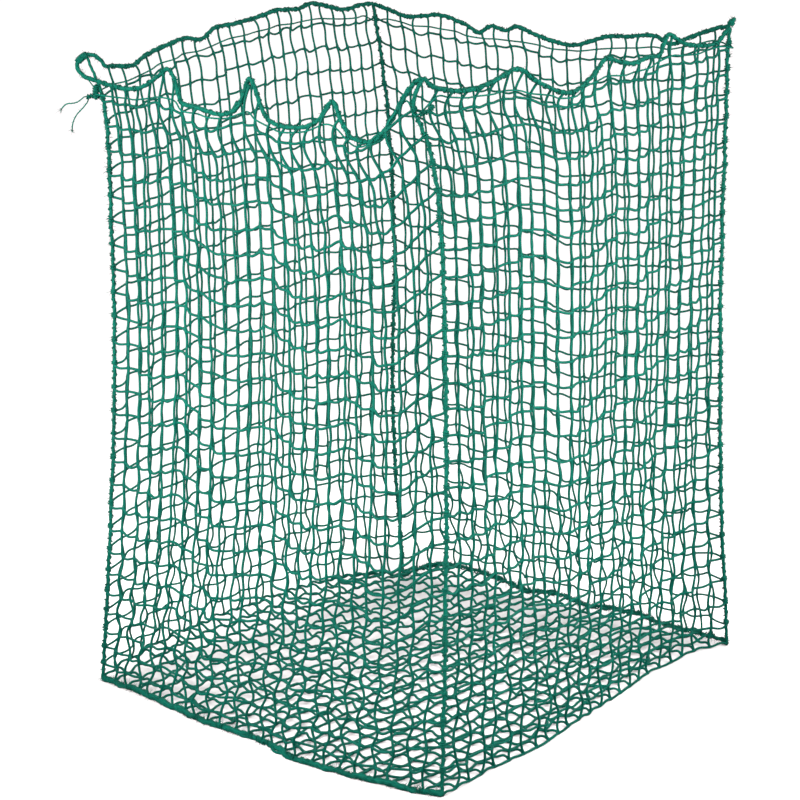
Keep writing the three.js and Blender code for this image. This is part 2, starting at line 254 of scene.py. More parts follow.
def sweep(lines, radii, sides):
    """Closed tubes along lines (s, n, 3); radii is (s, n) or (s, n, sides). Returns mesh arrays."""
    lines = np.asarray(lines, float)
    count, n = lines.shape[:2]
    across, up = carried_frames(lines)
    angle = 2 * np.pi * np.arange(sides) / sides
    radii = np.asarray(radii, float)
    if radii.ndim == 2:
        radii = radii[:, :, None]
    ring = across[:, :, None] * np.cos(angle)[:, None] + up[:, :, None] * np.sin(angle)[:, None]
    points = lines[:, :, None] + ring * (radii * np.ones(sides))[..., None]
    index = np.arange(count * n * sides).reshape(count, n, sides)
    nxt = np.roll(index, -1, axis=2)
    quads = np.stack([index[:, :-1], nxt[:, :-1], nxt[:, 1:], index[:, 1:]], axis=-1).reshape(-1, 4)
    caps = np.vstack([index[:, 0, ::-1], index[:, -1]])
    along = np.concatenate(
        [np.zeros((count, 1)), np.cumsum(np.linalg.norm(np.diff(lines, axis=1), axis=2), axis=1)], axis=1
    )
    u = np.broadcast_to(along[:, :-1, None], (count, n - 1, sides))
    u_next = np.broadcast_to(along[:, 1:, None], (count, n - 1, sides))
    v = np.broadcast_to(np.arange(sides) / sides, (count, n - 1, sides))
    corners = [(u, v), (u, v + 1 / sides), (u_next, v + 1 / sides), (u_next, v)]
    uv = np.stack([np.stack(c, axis=-1) for c in corners], axis=-2).reshape(-1, 2)
    cap_uv = np.zeros((caps.size, 2))
    return points.reshape(-1, 3), quads, caps, uv, cap_uv


def piece(name, parts, material, body):
    """One Blender object out of several sweeps, riding on a body."""
    points, faces, uvs, cap_faces, cap_uvs, offset = [], [], [], [], [], 0
    for vertices, quads, caps, uv, cap_uv in parts:
        points.append(vertices)
        faces += (quads + offset).tolist()
        uvs.append(uv)
        cap_faces += (caps + offset).tolist()
        cap_uvs.append(cap_uv)
        offset += len(vertices)
    mesh = bpy.data.meshes.new(name)
    mesh.from_pydata(np.vstack(points).tolist(), [], faces + cap_faces)
    layer = mesh.uv_layers.new(name="along_twine")
    layer.data.foreach_set("uv", np.vstack(uvs + cap_uvs).astype(np.float32).ravel())
    mesh.polygons.foreach_set("use_smooth", np.ones(len(mesh.polygons), bool))
    mesh.materials.append(material)
    mesh.update()
    obj = bpy.data.objects.new(name, mesh)
    bpy.context.scene.collection.objects.link(obj)
    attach(obj, body)
    return obj


def rope_sweep(line, diameter, lay=0.022, strands=3, rough=0.08, step=0.0035, sides=16):
    """A laid rope: strands that twist round each other, a little uneven. lay is the distance along the rope
    from one strand to the next."""
    line = evenly(line, max(6, int(travelled(line)[-1] / step)))
    n = len(line)
    line = line + slow_noise(n, 9, 3) * diameter * rough
    s = travelled(line)
    angle = 2 * np.pi * np.arange(sides) / sides
    twist = np.cos(strands * (angle[None, :] - 2 * np.pi * s[:, None] / lay / strands))
    radius = diameter / 2 * (0.9 + 0.13 * twist) * (1 + rough * slow_noise(n, 5))
    ends = np.minimum(1, np.minimum(np.arange(n), np.arange(n)[::-1]) / 1.5 + 0.45)[:, None]
    return sweep(line[None], (radius * ends)[None], sides)


def fibres(bases, directions, lengths, thick=0.0005):
    """Short stray fibres, each a thin tapering hair with a bend in it."""
    bases, directions = np.asarray(bases), np.asarray(directions)
    directions = directions / (np.linalg.norm(directions, axis=1, keepdims=True) + 1e-12)
    bend = rng.normal(0, 0.35, directions.shape)
    steps = np.array([0.0, 0.4, 0.75, 1.0])
    lines = (
        bases[:, None] + directions[:, None] * (steps[:, None] * lengths[:, None, None])
        + bend[:, None] * ((steps**2)[:, None] * lengths[:, None, None])
    )
    radii = np.tile(thick * np.array([1.0, 0.85, 0.6, 0.2]), (len(bases), 1))
    return sweep(lines, radii, 3)


def fuzz_on(line, radius, per_metre, length=0.006, tuft=1):
    """Stray fibres all round a rope."""
    s = travelled(line)
    count = int(s[-1] * per_metre)
    places = np.repeat(rng.uniform(0, s[-1], max(1, count // tuft)), tuft)
    centre = at_distance(line, places)
    ahead = at_distance(line, places + 0.002) - centre
    out = rng.normal(0, 1, centre.shape)
    ahead = ahead / (np.linalg.norm(ahead, axis=1, keepdims=True) + 1e-9)
    out = out - (out * ahead).sum(1, keepdims=True) * ahead
    out = out / (np.linalg.norm(out, axis=1, keepdims=True) + 1e-9)
    lean = out + ahead * rng.normal(0, 0.6, (len(out), 1))
    return fibres(centre + out * radius * 0.8, lean, rng.uniform(0.4, 1.2, len(out)) * length)


def wraps(line, places, radius, turns=1.5, width=0.005, thick=LACING):
    """Turns of lacing twine round a rope at each of the places along it."""
    per_turn = 10
    n = int(turns * per_turn) + 1
    phase = rng.uniform(0, 2 * np.pi, (len(places), 1))
    spin = phase + np.linspace(0, 2 * np.pi * turns, n)[None]
    spot = np.asarray(places)[:, None] + np.linspace(-width / 2, width / 2, n)[None]
    spot = spot + rng.normal(0, 0.0012, (len(places), 1)) * np.linspace(-1, 1, n)[None]
    centre = at_distance(line, spot)
    across, up = carried_frames(centre)
    ring = across * np.cos(spin)[..., None] + up * np.sin(spin)[..., None]
    lines = centre + ring * (radius + thick * 0.25)
    return sweep(lines, np.full(lines.shape[:2], thick / 2), 6)


# ---------- materials ----------
def cord_material(name, colour, pitch, turns, depth):
    """Braided or twisted green fibre: ribs that cross, with painted shade in the hollows between them, uneven
    from place to place.
    pitch is the length of one rib's wave along the cord, turns the number of ribs round it."""
    mat = bpy.data.materials.new(name)
    mat.use_nodes = True
    nodes, links = mat.node_tree.nodes, mat.node_tree.links
    shader = nodes["Principled BSDF"]
    shader.inputs["Roughness"].default_value = 0.6
    shader.inputs["Sheen Weight"].default_value = 0.02
    shader.inputs["Sheen Roughness"].default_value = 0.4
    shader.inputs["Specular IOR Level"].default_value = 0.05

    def node(kind, **settings):
        made = nodes.new(kind)
        for key, value in settings.items():
            setattr(made, key, value)
        return made

    def maths(operation, a, b=None):
        made = node("ShaderNodeMath", operation=operation)
        for socket, value in zip(made.inputs, (a, b)):
            if value is None:
                continue
            if isinstance(value, (int, float)):
                socket.default_value = value
            else:
                links.new(value, socket)
        return made.outputs[0]

    def noise(scale, detail):
        made = node("ShaderNodeTexNoise")
        made.inputs["Scale"].default_value = scale
        made.inputs["Detail"].default_value = detail
        links.new(spot.outputs["Object"], made.inputs["Vector"])
        return made.outputs["Fac"]

    def remap(value, before, after):
        made = node("ShaderNodeMapRange")
        for socket, setting in zip(("From Min", "From Max", "To Min", "To Max"), (*before, *after)):
            made.inputs[socket].default_value = setting
        links.new(value, made.inputs["Value"])
        return made.outputs[0]

    place = node("ShaderNodeUVMap", uv_map="along_twine")
    split = node("ShaderNodeSeparateXYZ")
    links.new(place.outputs["UV"], split.inputs[0])
    along = maths("MULTIPLY", split.outputs["X"], 2 * math.pi / pitch)
    around = maths("MULTIPLY", split.outputs["Y"], 2 * math.pi * turns)
    left = maths("SINE", maths("ADD", along, around))
    right = maths("SINE", maths("SUBTRACT", along, around))
    braid = maths("MULTIPLY_ADD", maths("MULTIPLY", left, right), 0.5)
    braid.node.inputs[2].default_value = 0.5
    spot = node("ShaderNodeTexCoord")
    fine = noise(scale=900, detail=3)
    patch = noise(scale=14, detail=2)
    # painted shade: the base colour is darker in the hollows between the ribs
    painted_groove_shade = remap(braid, (0, 1), (0.62, 1.12))
    patches = remap(patch, (0.3, 0.7), (0.86, 1.14))
    shade = maths("MULTIPLY", painted_groove_shade, patches)
    tint = node("ShaderNodeMix", data_type="RGBA", blend_type="MULTIPLY")
    tint.inputs[0].default_value = 1.0
    tint.inputs[6].default_value = (*colour, 1)
    links.new(shade, tint.inputs[7])
    links.new(tint.outputs[2], shader.inputs["Base Color"])
    height = maths("ADD", maths("MULTIPLY", braid, 0.8), maths("MULTIPLY", fine, 0.35))
    bump = node("ShaderNodeBump")
    bump.inputs["Strength"].default_value = 0.8
    bump.inputs["Distance"].default_value = depth
    links.new(height, bump.inputs["Height"])
    links.new(bump.outputs["Normal"], shader.inputs["Normal"])
    return mat


NET_GREEN = cord_material("net_twine", (0.0, 0.063, 0.043), pitch=0.0042, turns=3, depth=0.0006)
SEAM_GREEN = cord_material("seam_rope", (0.0, 0.069, 0.046), pitch=0.0060, turns=4, depth=0.0009)
RIM_GREEN = cord_material("rim_rope", (0.0, 0.069, 0.046), pitch=0.0060, turns=4, depth=0.0009)
CORD_GREEN = cord_material("draw_cord", (0.0, 0.085, 0.058), pitch=0.0034, turns=3, depth=0.0005)
LACE_GREEN = cord_material("lacing_twine", (0.0, 0.060, 0.040), pitch=0.0030, turns=2, depth=0.0005)


# ---------- camera ----------
CAMERA_PLACE = (4.099, -5.1175, 2.511)
CAMERA_AZIMUTH, CAMERA_ELEVATION = 38.997, 15.49    # degrees: turned from +Y, and looking down
CAMERA_LENS = 125.19                                # mm, on a sensor 36 mm wide


def add_camera():
    azimuth, elevation = math.radians(CAMERA_AZIMUTH), math.radians(CAMERA_ELEVATION)
    data = bpy.data.cameras.new("camera")
    data.sensor_width = 36
    data.lens = CAMERA_LENS
    obj = bpy.data.objects.new("camera", data)
    obj.location = CAMERA_PLACE
    obj.rotation_euler = (math.pi / 2 - elevation, 0, azimuth)
    bpy.context.scene.collection.objects.link(obj)
    bpy.context.scene.camera = obj


add_camera()


# ---------- the free tails of the draw cord ----------
def follow_rim(obj):
    """Gives a piece its own copy of its mesh."""
    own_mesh(obj)


FRAYED_ENDS = 26        # loose fibres at the end of a tail


def add_tail(name):
    """One free end of the draw cord, with a frayed tip."""
    route = spline(metres(TAILS[name]), 8)
    line = evenly(route, 24)
    radii = np.full((1, len(line)), TAIL_CORD / 2)
    end = line[-1]
    heading = line[-1] - line[-3]
    fray = heading / np.linalg.norm(heading) + rng.normal(0, 0.35, (FRAYED_ENDS, 3))
    obj = piece(f"draw_cord_{name}_tail", [sweep(line[None], radii, 8)], CORD_GREEN, "rim")
    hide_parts(f"draw_cord_tail_{name}")
    parts = [
        fibres(np.tile(end, (FRAYED_ENDS, 1)), fray, rng.uniform(0.006, 0.013, FRAYED_ENDS), 0.0004),
        fuzz_on(line, TAIL_CORD / 2, per_metre=300, length=0.004),
    ]
    frayed = piece(f"draw_cord_{name}_tail_fibres", parts, CORD_GREEN, "rim")
    follow_rim(obj)
    follow_rim(frayed)


for tail in TAILS:
    add_tail(tail)


# ---------- the net's knots ----------
corner_line = {name: spline(metres(points), 40) for name, points in CORNERS.items()}


def outward(wall):
    """The level direction straight out of a wall, by the line between its two top corners."""
    first, second = (corner_line[c][-1] for c in WALLS[wall])
    run = (second - first) * (1, 1, 0)
    return np.cross(run / np.linalg.norm(run), UP)


RIM_STEPS = 14          # points on the rim's line from one of its stops to the next


def rim_line(wall):
    first, second = (corner_line[c][-1] for c in WALLS[wall])
    stops = [(0, 0, 0), *RIM_WAVES[wall], (1, 0, 0)]
    points = [
        first + (second - first) * share + UP * rise * MM + outward(wall) * out * MM
        for share, rise, out in stops
    ]
    return spline(points, RIM_STEPS)


rims = {wall: rim_line(wall) for wall in WALLS}


def drops(height):
    """Heights of rows 0 to ROWS of knots below `height`: nearly taut at the top, with the spare rows packed
    closer near the floor."""
    height = np.atleast_1d(height)
    bar = np.maximum(BAR, height / ROWS)
    left = height - bar * (ROWS - SLACK_ROWS)
    packing = np.linspace(1, 0, SLACK_ROWS)[:, None]
    spare = bar * SLACK_ROWS - left
    low = bar - packing * spare * 2 / SLACK_ROWS
    steps = np.vstack([low, np.repeat(bar[None], ROWS - SLACK_ROWS, axis=0)])
    return np.vstack([np.zeros((1, len(height))), np.cumsum(steps, axis=0)])


def corner_knots(corner):
    """Rows 0 to ROWS up a corner, and the rim above them."""
    line = corner_line[corner]
    length = travelled(line)[-1]
    return at_distance(line, np.append(drops(length - TOP_GAP[corner])[:, 0], length))


def foot_line(wall):
    first, second = (corner_line[c][0] for c in WALLS[wall])
    stops = [(0, 0), *FOOT_WAVES[wall], (1, 0)]
    return spline([first + (second - first) * share + outward(wall) * out * MM for share, out in stops])


FOOT_WAVER = 0.005      # how far single knots of a bottom edge stand in or out


def foot_knots(wall):
    """The knots along the bottom edge of a wall: on the floor, or over it where FOOT_LIFT says so."""
    knots = evenly(foot_line(wall), CELLS[wall])
    edge = np.sin(np.pi * np.linspace(0, 1, len(knots))) ** 0.5
    knots += outward(wall) * (slow_noise(len(knots), 2.5) * FOOT_WAVER * edge[:, None])
    knots[:, 2] = FLOOR + 0.001
    if wall in FOOT_LIFT:
        share, lift = zip(*FOOT_LIFT[wall])
        knots[:, 2] += np.interp(np.linspace(0, 1, len(knots)), share, lift) * MM
    return knots


feet = {wall: foot_knots(wall) for wall in WALLS}


def space_out(a, b, wanted, share_a, share_b):
    """Moves two arrays of points, in place, so that each pair is as far apart as wanted."""
    gap = b - a
    length = np.linalg.norm(gap, axis=-1, keepdims=True) + 1e-12
    move = gap / length * (length - wanted)
    total = share_a + share_b + 1e-9
    a += move * share_a / total
    b -= move * share_b / total


def rim_over(wall, count):
    """The rim above a wall at even steps along the wall, seen from above."""
    line = rims[wall]
    run = (line[-1] - line[0]) * (1, 1, 0)
    share = np.maximum.accumulate((line - line[0]) @ run / (run @ run))
    steps = np.linspace(0, 1, count + 1)
    return np.stack([np.interp(steps, share, line[:, k]) for k in range(3)], axis=-1)


def blur(values, rounds):
    for _ in range(rounds):
        padded = np.concatenate([2 * values[:1] - values[1:2], values, 2 * values[-1:] - values[-2:-1]])
        values = (padded[:-2] + 2 * padded[1:-1] + padded[2:]) / 4
    return values


def hang_wall(wall):
    """Where a wall's knots come to rest. Each column hangs from its own place on the rim, so the rows repeat
    the rim's waves all the way down; what is left over is packed into the rows near the floor."""
    cells = CELLS[wall]
    left, right = (corner_knots(c) for c in WALLS[wall])
    rim = rim_over(wall, cells)
    k = np.arange(cells + 1)
    share = np.linspace(0, 1, cells + 1)
    mean = blur(rim[:, 2], LEVEL_ROUNDS)
    waves = RIM_SHARE * (blur(rim[:, 2], 2) - mean)
    first = mean + waves - RIM_TO_KNOTS + slow_noise(cells + 1, 1.3)[:, 0] * 0.0035
    first = np.minimum(first, rim[:, 2] - RIM_CLEARANCE)
    first += (
        (left[-2, 2] - first[0]) * np.exp(-k / CORNER_REACH)
        + (right[-2, 2] - first[-1]) * np.exp(-k[::-1] / CORNER_REACH)
    )
    for _ in range(30):
        step = np.clip(np.diff(first), -STEEPEST, STEEPEST) - np.diff(first)
        first[1:-1] += 0.5 * (step[:-1] - step[1:])
    height = drops(first)
    rows = np.empty((ROWS + 2, cells + 1, 3))
    rows[-1] = rim * 0.5 + evenly(rims[wall], cells) * 0.5
    rows[:-1, :, 2] = height
    tall = height / first
    for axis in (0, 1):
        sides = [np.interp(tall, side[:-1, 2] / side[-2, 2], side[:-1, axis]) for side in (left, right)]
        rows[:-1, :, axis] = sides[0] * (1 - share) + sides[1] * share
    straight = rim[0] + (rim[-1] - rim[0]) * share[:, None]
    rows[:-1, :, :2] += ((rim - straight)[None] * (tall**3)[..., None])[..., :2]
    foot = feet[wall]
    level = foot[0] + (foot[-1] - foot[0]) * share[:, None]
    rows[:-1] += (foot - level)[None] * ((1 - tall) ** 3)[..., None]
    rows[0] = foot
    rows[:, 0], rows[:, -1] = left, right
    rows[0, 0], rows[0, -1] = foot[0], foot[-1]
    rows[..., 2] = np.maximum(rows[..., 2], FLOOR)
    return rows


# How far knots stand from their places in an even net, in metres. The jitter is each knot's own, the rest
# changes smoothly up a column, and BRICK moves every other knot the other way. The slack rows near the
# floor, up to about LOOSE_ROWS of them, have the LOOSE values as well.
IN_OUT, LOOSE_IN_OUT = 0.004, 0.0010
SIDEWAYS, SIDEWAYS_JITTER = 0.0014, 0.0003
HEIGHT, LOOSE_HEIGHT, HEIGHT_JITTER = 0.0022, 0.003, 0.0006
BRICK, LOOSE_BRICK = 0.0002, 0.0060
LOOSE_ROWS = 8.0


def uneven(knots, wall):
    """Knots aren't in line: columns stand a little in or out, and the slack rows near the floor more so."""
    rows, columns = knots.shape[:2]
    loose = np.exp(-((np.arange(rows) / LOOSE_ROWS) ** 2))[:, None]
    zigzag = np.where(np.arange(columns) % 2, 1.0, -1.0)
    fade = np.ones((rows, columns))
    fade[0] = fade[-1] = 0
    fade[:, 0] = fade[:, -1] = 0
    in_out = (slow_noise(rows, 20, columns) + 0.6 * zigzag * slow_noise(rows, 20, columns)) * IN_OUT
    sideways = slow_noise(rows, 18, columns) * SIDEWAYS + rng.normal(0, SIDEWAYS_JITTER, (rows, columns))
    height = slow_noise(rows, 14, columns) * HEIGHT + slow_noise(rows, 5, columns) * LOOSE_HEIGHT * loose
    brick = zigzag * np.where(np.arange(rows) % 2, 1.0, -1.0)[:, None]
    sideways = sideways + brick * (BRICK + LOOSE_BRICK * loose) * (1 + 0.3 * slow_noise(rows, 6, columns))
    in_out = in_out + rng.normal(0, LOOSE_IN_OUT, in_out.shape) * loose
    height = height + rng.normal(0, HEIGHT_JITTER, height.shape)
    height = height + rng.normal(0, HEIGHT_JITTER, height.shape) * loose
    out = outward(wall)
    along = np.cross(UP, out)
    shift = in_out[..., None] * out + sideways[..., None] * along + height[..., None] * UP
    moved = knots + shift * fade[..., None]
    moved[..., 2] = np.maximum(moved[..., 2], FLOOR)
    return moved


BASE_DRIFT, BASE_JITTER = 0.003, 0.0004     # how far the base's knots lie from their places


def base_knots():
    """The base's knots, filled in between the four feet of the walls. First axis +X, second axis +Y. Near
    the back and left edges they rise towards the edges' own lift."""
    front, back = feet["front"], feet["back"][::-1]
    left, right = feet["left"][::-1], feet["right"]
    x = np.linspace(0, 1, len(front))[:, None, None]
    y = np.linspace(0, 1, len(left))[None, :, None]
    lengthways = front[:, None] * (1 - y) + back[:, None] * y
    crossways = left[None] * (1 - x) + right[None] * x
    corners = (
        front[0] * (1 - x) * (1 - y) + front[-1] * x * (1 - y) + back[0] * (1 - x) * y + back[-1] * x * y
    )
    knots = lengthways + crossways - corners
    inside = np.zeros(knots.shape[:2] + (1,))
    inside[1:-1, 1:-1] = 1
    drift = np.stack([slow_noise(len(front), 3, len(left)), slow_noise(len(left), 3, len(front)).T], axis=-1)
    knots[..., :2] += inside * (drift * BASE_DRIFT + rng.normal(0, BASE_JITTER, drift.shape))
    lift = (back[:, None, 2:] - FLOOR) * y**8 + (left[None, :, 2:] - FLOOR) * (1 - x) ** 5
    knots[..., 2:] = FLOOR + 0.0005 + lift + inside * np.abs(rng.normal(0.002, 0.001, inside.shape))
    return knots


# ---------- twine between the knots ----------
SUB = 6                 # steps along one bar while it settles


def bar_lengths(strands, slack):
    """How long each bar's curve is: its chord, and a share of what the mesh leaves over."""
    chord = np.linalg.norm(strands[:, 1:] - strands[:, :-1], axis=-1)
    spare = np.maximum(BAR - chord, 0)
    return (chord + spare * slack * (1 + rng.normal(0, 0.12, chord.shape)))[..., None]


def bow_bars(strands, directions, length):
    """Points along strands of knots (s, n, 3): each bar bows along its direction to take up its slack."""
    a, b = strands[:, :-1], strands[:, 1:]
    gap = b - a
    chord = np.linalg.norm(gap, axis=-1, keepdims=True)
    across = directions - (directions * gap).sum(-1, keepdims=True) * gap / chord**2
    across /= np.linalg.norm(across, axis=-1, keepdims=True) + 1e-9
    slack = np.maximum(length / chord - 1, 0.0002)
    rise = chord * 2 / np.pi * np.sqrt(slack) * 0.93
    t = (np.arange(SUB) / SUB)[None, None, :, None]
    line = a[:, :, None] + gap[:, :, None] * t + (across * rise)[:, :, None] * np.sin(np.pi * t)
    line = line.reshape(len(strands), -1, 3)
    return np.concatenate([line, strands[:, -1:]], axis=1)


def settle(lines, length, sag, rounds=70):
    """Stiff twine: bends ease out, each bar keeps its length, the knots stay where they are."""
    count, n = lines.shape[:2]
    knot = np.arange(n) % SUB == 0
    free = np.where(knot, 0.0, 1.0)[None, :, None] * np.ones((count, 1, 1))
    chord = np.linalg.norm(lines[:, SUB::SUB] - lines[:, :-1:SUB], axis=-1)
    step = np.repeat(np.maximum(length, chord * 1.002), SUB, axis=1)[..., None] / SUB
    fixed = lines.copy()
    for _ in range(rounds):
        bend = (lines[:, :-2] + lines[:, 2:]) / 2 - lines[:, 1:-1]
        lines[:, 1:-1] += 0.35 * bend * free[:, 1:-1]
        lines[:, :-2] -= 0.3 * bend * free[:, :-2]
        lines[:, 2:] -= 0.3 * bend * free[:, 2:]
        lines[..., 2:] -= sag * free
        for _ in range(2):
            for parity in (0, 1):
                a, b = lines[:, parity:-1:2], lines[:, parity + 1::2]
                size = step[:, parity::2][:, : b.shape[1]]
                space_out(a, b, size, free[:, parity:-1:2], free[:, parity + 1::2])
            lines = fixed * (1 - free) + lines * free
        lines[..., 2] = np.maximum(lines[..., 2], FLOOR)
    return lines


def finer(lines):
    """Twice as many points, on a smooth curve."""
    before = np.concatenate([2 * lines[:, :1] - lines[:, 1:2], lines[:, :-2]], axis=1)
    after = np.concatenate([lines[:, 2:], 2 * lines[:, -1:] - lines[:, -2:-1]], axis=1)
    middle = (lines[:, :-1] + lines[:, 1:]) * 9 / 16 - (before + after) / 16
    result = np.empty((lines.shape[0], 2 * lines.shape[1] - 1, 3))
    result[:, ::2] = lines
    result[:, 1::2] = middle
    return result


def twine_sweep(lines, thick, swell, reach):
    """Twine with a thicker spot where it goes through each knot: swell says how much thicker, and reach how
    far from the knot."""
    lines = finer(lines)
    count, n = lines.shape[:2]
    steps = np.abs((np.arange(n) + SUB) % (2 * SUB) - SUB) / (2 * SUB) * BAR
    radius = thick / 2 * (0.96 + swell * np.exp(-((steps / reach) ** 2)))
    radii = radius[None] * (1 + 0.05 * np.stack([slow_noise(n, 8)[:, 0] for _ in range(count)]))
    return sweep(lines, radii, 8)


CROWDED = 0.9           # upright bars shorter than this share of BAR aren't taut, and bow a little more


def wall_piece(wall, knots):
    """A wall's netting: crossways twine, most of which bows outwards, and upright twine, which is nearly taut
    and bows to one side and the other in turn."""
    out = outward(wall)
    along = np.cross(UP, out)
    rows, columns = knots.shape[:2]
    strands = knots[1:-1]
    cells = columns - 1
    side = np.sign(slow_noise(rows - 2, 9, cells) + 0.35)
    tilt = slow_noise(rows - 2, 4, cells) * 0.15
    directions = (side * np.cos(tilt))[..., None] * out + np.sin(tilt)[..., None] * UP
    length = bar_lengths(strands, CROSS_SLACK)
    crossways = settle(bow_bars(strands, directions, length), length[..., 0], sag=0.00006)
    strands = np.swapaxes(knots, 0, 1)[1:-1]
    turn = slow_noise(columns - 2, 2, rows - 1) * 3
    sign = np.where(np.arange(rows - 1) % 2, 1.0, -1.0)[None, :, None]
    directions = sign * (np.cos(turn)[..., None] * out + np.sin(turn)[..., None] * along)
    chord = np.linalg.norm(strands[:, 1:] - strands[:, :-1], axis=-1, keepdims=True)
    length = chord * np.where(chord < CROWDED * BAR, 1.006, 1.0004)
    upright = settle(bow_bars(strands, directions, length), length[..., 0], sag=0.0)
    thick = TWINE * TWINE_SHARE[wall]
    parts = [
        twine_sweep(crossways, thick, swell=0.12, reach=0.004),
        twine_sweep(upright, thick, swell=0.38, reach=0.0065),
    ]
    obj = piece(f"net_{wall}", parts, NET_GREEN, "netting")
    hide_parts(f"wall_net_{wall}")
    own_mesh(obj)


def base_piece():
    """The base's netting, whose twine bows up off the floor between the knots."""
    knots = base_knots()
    parts = []
    for strands in (knots, np.swapaxes(knots, 0, 1)):
        bars = (strands.shape[0], strands.shape[1] - 1)
        lean = rng.normal(0, 0.05, bars)
        run = strands[:, 1:] - strands[:, :-1]
        sideways = np.cross(run, UP)
        sideways /= np.linalg.norm(sideways, axis=-1, keepdims=True)
        directions = np.cos(lean)[..., None] * UP + np.sin(lean)[..., None] * sideways
        length = bar_lengths(strands, BASE_SLACK)
        lines = settle(bow_bars(strands, directions, length), length[..., 0], sag=0.00008)
        parts.append(twine_sweep(lines, TWINE * TWINE_SHARE["base"], swell=0.25, reach=0.005))
    obj = piece("net_base", parts, NET_GREEN, "netting")
    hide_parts("base_net")


# ---------- ropes ----------
TUFT = 5                # stray ends of lacing at each knot of a corner's seam


def seam_piece(corner):
    """The rope up a corner, laced to the netting at each row of knots."""
    line = corner_line[corner] + slow_noise(len(corner_line[corner]), 8, 3) * 0.0012
    line[0, 2] = SEAM_ROPE / 2
    places = drops(travelled(line)[-1] - TOP_GAP[corner])[1:, 0]
    tufts = at_distance(line, places)
    out = tufts * (1, 1, 0)
    out = out / np.linalg.norm(out, axis=1, keepdims=True)
    many = np.repeat(np.arange(len(places)), TUFT)
    spray = out[many] + rng.normal(0, 0.6, (len(many), 3))
    parts = [
        rope_sweep(line, SEAM_CORE),
        wraps(line, places, SEAM_CORE / 2, turns=2.5, width=0.012, thick=0.0044),
        wraps(line, places[1:] - MESH / 2, SEAM_CORE / 2, turns=1.2, width=0.024),
        fuzz_on(line, SEAM_ROPE / 2, per_metre=420, length=0.0065, tuft=3),
        fibres(tufts[many] + out[many] * 0.004, spray, rng.uniform(0.005, 0.011, len(many)), 0.0006),
    ]
    obj = piece(f"seam_{corner}", parts, SEAM_GREEN, "netting")
    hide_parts(f"seam_rope_{corner}")
    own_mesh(obj)


def base_seam_piece(wall):
    """The rope along a wall's bottom edge, laced to the netting, on the floor."""
    foot = feet[wall] + (0, 0, SEAM_ROPE / 2 - FLOOR)
    line = spline(foot, 10)
    n = len(line)
    line = line + outward(wall) * (slow_noise(n, 14) * 0.005 + slow_noise(n, 5) * 0.0025)
    line[:, 2] = np.maximum(line[:, 2] + slow_noise(n, 8)[:, 0] * 0.002, SEAM_ROPE / 2)
    places = np.arange(0.01, travelled(line)[-1], TURN_SPACING)
    parts = [
        rope_sweep(line, SEAM_ROPE * BASE_SEAM_SIZE[wall], rough=0.20),
        wraps(line, places, SEAM_ROPE / 2, turns=2.2, width=0.012),
        wraps(line, places[:-1] + STRAY_TURN, SEAM_ROPE / 2, turns=1.2, width=0.024),
        fuzz_on(line, SEAM_ROPE / 2, per_metre=1300, length=0.012, tuft=3),
    ]
    for points, *_ in parts:
        points[:, 2] = np.maximum(points[:, 2], 0.0004)
    obj = piece(f"base_seam_{wall}", parts, SEAM_GREEN, "netting")
    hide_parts(f"base_seam_rope_{wall}")


def rim_piece():
    """The rope right round the mouth, with the lacing that holds each column of the netting. It leaves the
    left wall one stop early, where it goes into the front left loop."""
    parts = []
    for wall in WALLS:
        line = rims[wall]
        if wall == "left":
            line = line[: -RIM_STEPS]
        places = travelled(line)[-1] * (np.arange(CELLS[wall]) + 0.5) / CELLS[wall]
        parts += [
            rope_sweep(line, RIM_ROPE * 0.9, rough=0.08),
            wraps(line, places, RIM_ROPE * 0.42, turns=1.6, width=0.007, thick=0.0028),
            wraps(line, places[:-1] + STRAY_TURN, RIM_ROPE * 0.42, turns=1.0, width=0.030, thick=0.0026),
            fuzz_on(line, RIM_ROPE / 2, per_metre=260, length=0.005, tuft=3),
        ]
    obj = piece("rim_rope", parts, RIM_GREEN, "rim")
    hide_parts("rim_rope_front", "rim_rope_back")
    follow_rim(obj)


CORD_DROP = 0.030       # from the rim's general level down to the draw cord
CORD_CLEARANCE = 0.013  # the least distance from the rim down to the draw cord
CORD_WEAVE = 0.0045     # how far the draw cord stands in or out as it passes a column


def draw_cord_piece(walls_knots):
    """Thin cord in and out of the columns just under the rim, tied at one corner."""
    points = []
    for wall, knots in walls_knots.items():
        rim = knots[-1, :, 2]
        mean = blur(rim, LEVEL_ROUNDS)
        level = np.minimum(mean + 0.35 * (rim - mean) - CORD_DROP, rim - CORD_CLEARANCE)
        part = np.clip((rim - level) / (rim - knots[-2, :, 2]), 0, 1)[:, None]
        column = knots[-1] * (1 - part) + knots[-2] * part
        column[:, 2] = level
        side = np.where(np.arange(len(column)) % 2, 1.0, -1.0)[:, None] * CORD_WEAVE
        points.append((column + outward(wall) * side)[1:-1])
        if wall == "left":
            continue
        corner = corner_line[WALLS[wall][1]]
        turn = at_distance(corner, travelled(corner)[-1] - TOP_GAP[WALLS[wall][1]] - 0.012)
        points.append((turn + outward(wall) * 0.008 + np.cross(outward(wall), UP) * -0.008)[None])
    knot = metres(KNOT_CENTRE)
    route = spline(np.vstack([knot, *points, knot]), 5)
    parts = [
        sweep(route[None], np.full((1, len(route)), DRAW_CORD / 2), sides=8),
        fuzz_on(route, DRAW_CORD / 2, per_metre=60, length=0.004),
    ]
    obj = piece("draw_cord_visual", parts, CORD_GREEN, "rim")
    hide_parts("draw_cord")
    follow_rim(obj)


def lashing(points, diameter, turns, thick):
    """A short rope with turns of twine tight round it."""
    line = spline(metres(points), 10)
    length = travelled(line)[-1]
    return [
        rope_sweep(line, diameter, lay=0.014, sides=12),
        wraps(line, [length / 2], diameter * 0.45, turns, length * 0.8, thick),
        fuzz_on(line, diameter / 2, per_metre=1400),
    ]


